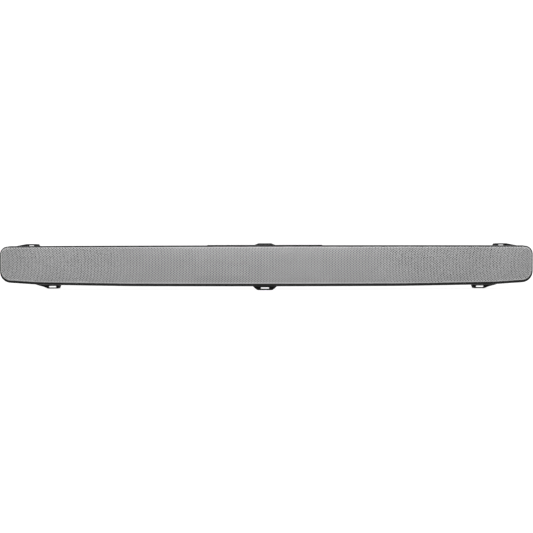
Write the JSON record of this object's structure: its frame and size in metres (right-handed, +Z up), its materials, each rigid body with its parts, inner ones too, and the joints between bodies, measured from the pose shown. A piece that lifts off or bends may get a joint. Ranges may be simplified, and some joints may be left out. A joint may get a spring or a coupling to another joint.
{
  "type": "soundbar",
  "caption": "Long bowed soundbar with a silver perforated front, a black hollow housing, a control strip on top, low slotted feet, reflex ports, wall keyholes and a rear connector bay.",
  "frame": {"origin": "on the surface that the feet stand on, in the middle of the bar's length and depth", "axes": "+X along the bar to the right seen from the front, +Y towards the back, +Z up; the grille faces -Y"},
  "size_m": [1, 0.1, 0.0866],
  "materials": {
    "black_plastic": "satin, finely textured",
    "gloss_black": "high gloss",
    "grille_steel": "silver-grey lacquer on perforated steel",
    "cloth": "open black scrim",
    "rubber": "matt",
    "smoked_lens": "smoked clear plastic",
    "circuit_board": "green solder mask",
    "zinc_steel": "zinc plated",
    "aluminium": "plain extruded",
    "cone_paper": "coated paper",
    "magnet_steel": "plated",
    "transformer_core": "taped winding on laminated steel"
  },
  "bodies": {
    "bar": {"main_housing": "black_plastic", "rear_cover": "black_plastic", "front_bezel": "black_plastic", "front_baffle": "black_plastic", "port_tube_left": "black_plastic", "port_tube_right": "black_plastic", "connector_plate": "black_plastic", "aux_jack": "black_plastic", "optical_port": "black_plastic", "mains_inlet": "black_plastic", "front_grille": "grille_steel", "acoustic_cloth": "cloth", "control_panel": "gloss_black", "display_carrier": "gloss_black", "control_board": "circuit_board", "display_board": "circuit_board", "main_board": "circuit_board", "power_board": "circuit_board", "wireless_module": "circuit_board", "display_window": "smoked_lens", "foot_middle": "rubber", "foot_left": "rubber", "foot_right": "rubber", "lug_middle": "rubber", "lug_left": "rubber", "lug_right": "rubber", "heat_sink": "aluminium", "power_transformer": "transformer_core", "data_port": "zinc_steel", "video_input_port": "zinc_steel", "video_return_port": "zinc_steel", "wall_plate_left": "zinc_steel", "wall_plate_right": "zinc_steel", "woofer_1_basket": "black_plastic", "woofer_1_surround": "rubber", "woofer_1_magnet": "magnet_steel", "woofer_2_basket": "black_plastic", "woofer_2_surround": "rubber", "woofer_2_magnet": "magnet_steel", "woofer_3_basket": "black_plastic", "woofer_3_surround": "rubber", "woofer_3_magnet": "magnet_steel", "woofer_4_basket": "black_plastic", "woofer_4_surround": "rubber", "woofer_4_magnet": "magnet_steel", "tweeter_1_frame": "black_plastic", "tweeter_1_magnet": "magnet_steel", "tweeter_2_frame": "black_plastic", "tweeter_2_magnet": "magnet_steel"},
    "power_key": {"button_power": "gloss_black"},
    "source_key": {"button_source": "gloss_black"},
    "wireless_key": {"button_wireless": "gloss_black"},
    "volume_down_key": {"button_volume_down": "gloss_black"},
    "volume_up_key": {"button_volume_up": "gloss_black"},
    "woofer_1_diaphragm": {"woofer_1_cone": "cone_paper"},
    "woofer_2_diaphragm": {"woofer_2_cone": "cone_paper"},
    "woofer_3_diaphragm": {"woofer_3_cone": "cone_paper"},
    "woofer_4_diaphragm": {"woofer_4_cone": "cone_paper"},
    "tweeter_1_diaphragm": {"tweeter_1_dome": "cone_paper"},
    "tweeter_2_diaphragm": {"tweeter_2_dome": "cone_paper"}
  },
  "joints": [
    {"name": "power_press", "type": "slide", "parent": "bar", "child": "power_key", "axis": [0, 0, -1], "range_m": [0, 0.0005], "stiffness_N_per_m": 1200},
    {"name": "source_press", "type": "slide", "parent": "bar", "child": "source_key", "axis": [0, 0, -1], "range_m": [0, 0.0005], "stiffness_N_per_m": 1200},
    {"name": "wireless_press", "type": "slide", "parent": "bar", "child": "wireless_key", "axis": [0, 0, -1], "range_m": [0, 0.0005], "stiffness_N_per_m": 1200},
    {"name": "volume_down_press", "type": "slide", "parent": "bar", "child": "volume_down_key", "axis": [0, 0, -1], "range_m": [0, 0.0005], "stiffness_N_per_m": 1200},
    {"name": "volume_up_press", "type": "slide", "parent": "bar", "child": "volume_up_key", "axis": [0, 0, -1], "range_m": [0, 0.0005], "stiffness_N_per_m": 1200},
    {"name": "woofer_1_travel", "type": "slide", "parent": "bar", "child": "woofer_1_diaphragm", "axis": [-0.1161, -0.9932, 0], "range_m": [-0.0025, 0.0025], "stiffness_N_per_m": 1500, "deforming": ["woofer_1_surround"]},
    {"name": "woofer_2_travel", "type": "slide", "parent": "bar", "child": "woofer_2_diaphragm", "axis": [-0.07, -0.9975, 0], "range_m": [-0.0025, 0.0025], "stiffness_N_per_m": 1500, "deforming": ["woofer_2_surround"]},
    {"name": "woofer_3_travel", "type": "slide", "parent": "bar", "child": "woofer_3_diaphragm", "axis": [0.07, -0.9975, 0], "range_m": [-0.0025, 0.0025], "stiffness_N_per_m": 1500, "deforming": ["woofer_3_surround"]},
    {"name": "woofer_4_travel", "type": "slide", "parent": "bar", "child": "woofer_4_diaphragm", "axis": [0.1161, -0.9932, 0], "range_m": [-0.0025, 0.0025], "stiffness_N_per_m": 1500, "deforming": ["woofer_4_surround"]},
    {"name": "tweeter_1_travel", "type": "slide", "parent": "bar", "child": "tweeter_1_diaphragm", "axis": [-0.0931, -0.9957, 0], "range_m": [-0.00025, 0.00025], "stiffness_N_per_m": 2000},
    {"name": "tweeter_2_travel", "type": "slide", "parent": "bar", "child": "tweeter_2_diaphragm", "axis": [0.0931, -0.9957, 0], "range_m": [-0.00025, 0.00025], "stiffness_N_per_m": 2000}
  ]
}
